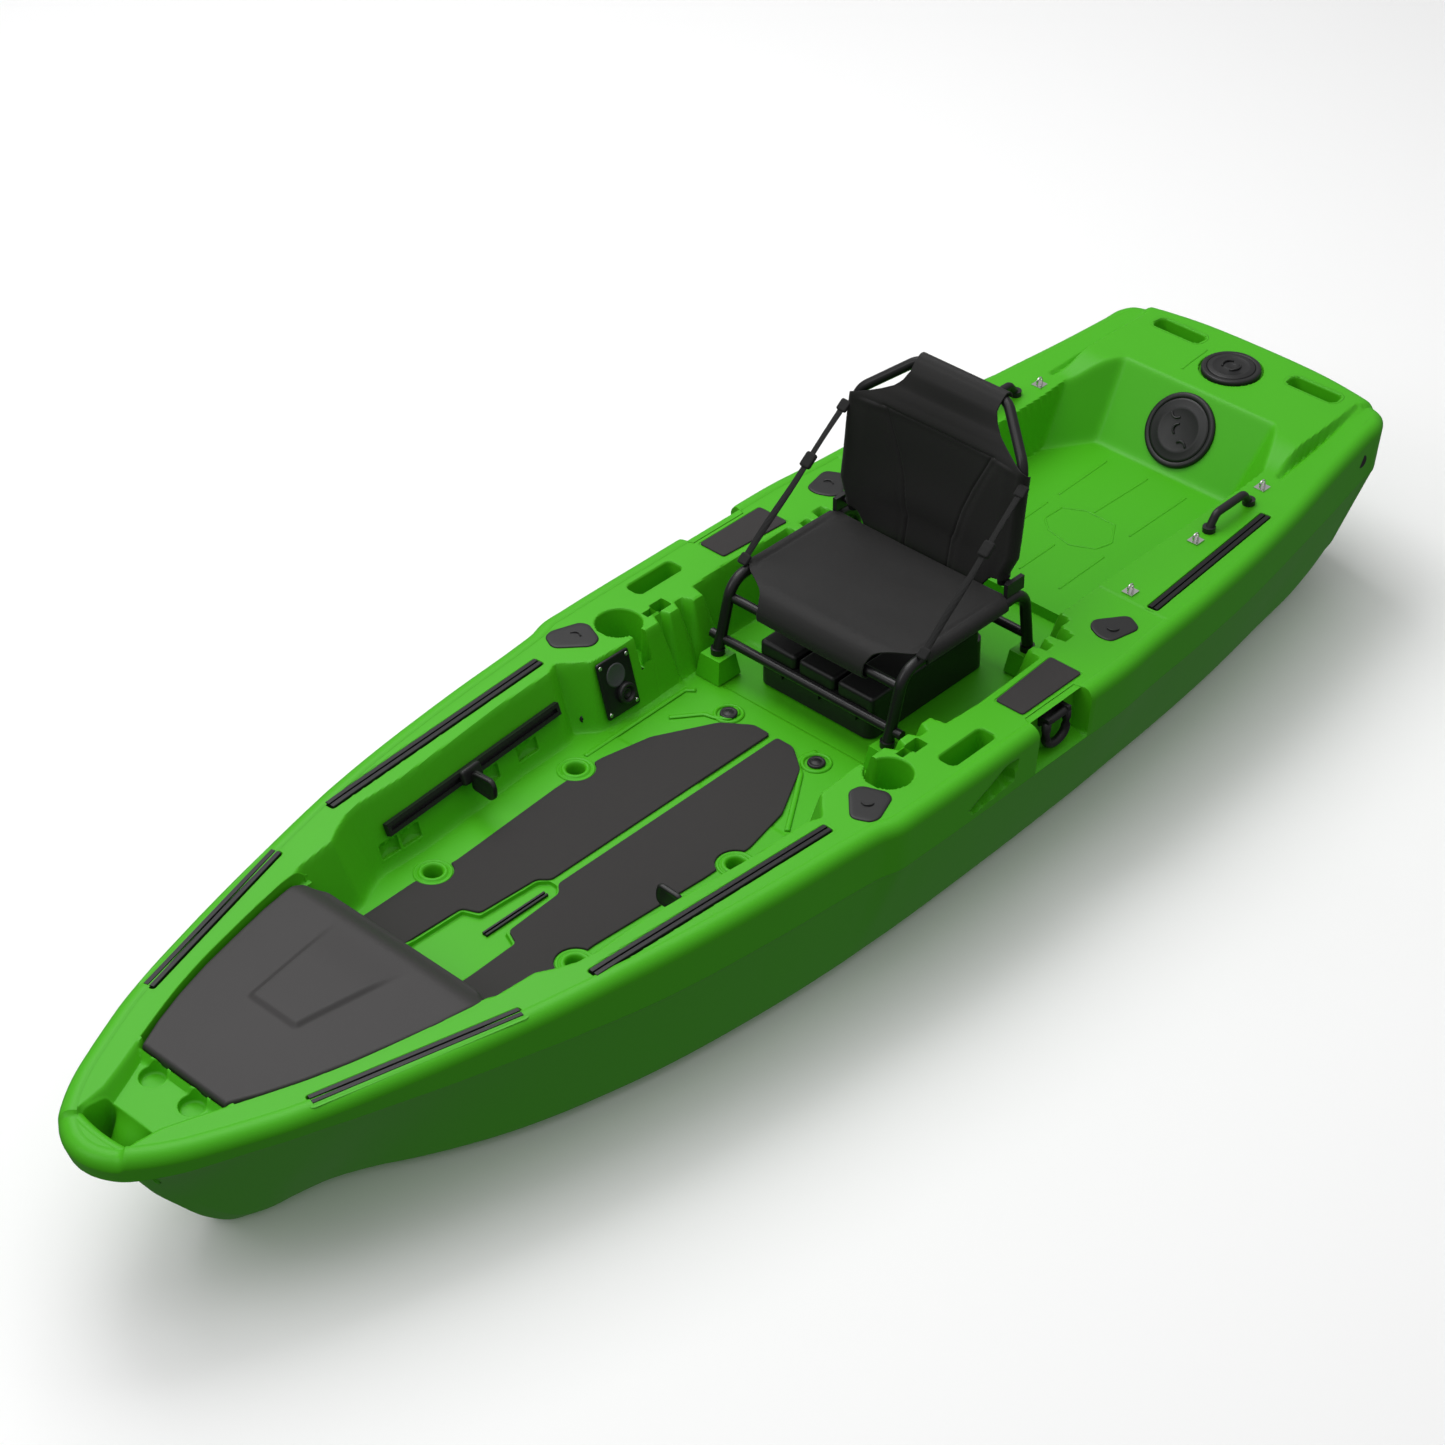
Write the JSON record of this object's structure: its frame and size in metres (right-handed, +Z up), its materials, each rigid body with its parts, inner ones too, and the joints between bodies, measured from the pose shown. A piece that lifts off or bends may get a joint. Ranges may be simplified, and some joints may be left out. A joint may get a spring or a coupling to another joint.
{
  "type": "jet kayak",
  "caption": "Flat-bottomed sit-on-top fishing kayak with jet drive pod, folding frame seat, gear tracks, foot rails, hatches and a rear tank well.",
  "frame": {"origin": "on the floor under the middle of the hull's length, on its centre line", "axes": "+X towards the bow, +Y to port, +Z up"},
  "size_m": [3.348, 0.964, 0.836],
  "materials": {
    "hull_plastic": "satin moulded",
    "cover_plastic": "satin moulded",
    "black_plastic": "satin",
    "foam_pad": "brushed foam",
    "track_metal": "black anodised",
    "steel": "brushed",
    "panel_plastic": "gloss",
    "pod_plastic": "satin",
    "frame_tube": "satin black",
    "seat_fabric": "coated woven",
    "webbing": "woven"
  },
  "bodies": {
    "root": {"bow_tracks": "track_metal", "control_panel": "panel_plastic", "control_socket": "black_plastic", "corner_covers": "black_plastic", "deck_bow": "hull_plastic", "deck_side_port": "hull_plastic", "deck_side_starboard": "hull_plastic", "deck_stern": "hull_plastic", "drive_pod": "pod_plastic", "floor_pad_port": "foam_pad", "floor_pad_starboard": "foam_pad", "floor_plugs": "black_plastic", "floor_track": "track_metal", "foot_rail_port": "black_plastic", "foot_rail_starboard": "black_plastic", "handle_bracket_port": "black_plastic", "handle_bracket_starboard": "black_plastic", "hull": "hull_plastic", "intake_grille": "black_plastic", "jet_nozzle": "black_plastic", "mid_tracks": "track_metal", "pad_eyes": "steel", "pod_latches": "black_plastic", "rear_handles": "black_plastic", "rear_tracks": "track_metal", "seat_frame": "frame_tube", "seat_hinges": "black_plastic", "seat_posts": "hull_plastic", "seat_sling": "seat_fabric", "side_pads": "foam_pad", "side_plugs": "black_plastic", "stern_hatch_ring": "black_plastic", "strap_port": "webbing", "strap_starboard": "webbing", "tank_hatch_ring": "black_plastic"},
    "seat_back": {"back_frame": "frame_tube", "back_sling": "seat_fabric"},
    "bow_lid": {"bow_cover": "cover_plastic"},
    "tank_lid": {"tank_hatch_lid": "black_plastic"},
    "stern_lid": {"stern_hatch_lid": "black_plastic"},
    "peg_port": {"foot_peg_port": "black_plastic"},
    "peg_starboard": {"foot_peg_starboard": "black_plastic"},
    "loop_port": {"handle_loop_port": "black_plastic"},
    "loop_starboard": {"handle_loop_starboard": "black_plastic"}
  },
  "joints": [
    {"name": "back_fold", "type": "hinge", "parent": "root", "child": "seat_back", "pos_m": [-0.505, 0, 0.49], "axis": [0, 1, 0], "range_deg": [0, 90], "deforming": ["strap_port", "strap_starboard"]},
    {"name": "bow_cover_lift", "type": "hinge", "parent": "root", "child": "bow_lid", "pos_m": [0.957, 0, 0.3624], "axis": [0, -1, 0], "range_deg": [0, 100]},
    {"name": "tank_lid_turn", "type": "hinge", "parent": "root", "child": "tank_lid", "pos_m": [-1.36102, 0, 0.3485], "axis": [0.7993, 0, 0.6009], "range_deg": [0, 90]},
    {"name": "stern_lid_turn", "type": "hinge", "parent": "root", "child": "stern_lid", "pos_m": [-1.53498, 0, 0.426], "axis": [0, 0, 1], "range_deg": [0, 90]},
    {"name": "peg_slide_port", "type": "slide", "parent": "root", "child": "peg_port", "axis": [0.9974, -0.0721, 0], "range_m": [-0.2, 0.16]},
    {"name": "peg_slide_starboard", "type": "slide", "parent": "root", "child": "peg_starboard", "axis": [0.9974, 0.0721, 0], "range_m": [-0.2, 0.16]},
    {"name": "handle_swing_port", "type": "hinge", "parent": "root", "child": "loop_port", "pos_m": [-0.36, 0.457, 0.366], "axis": [1, 0, 0], "range_deg": [0, 80]},
    {"name": "handle_swing_starboard", "type": "hinge", "parent": "root", "child": "loop_starboard", "pos_m": [-0.36, -0.457, 0.366], "axis": [-1, 0, 0], "range_deg": [0, 80]}
  ]
}
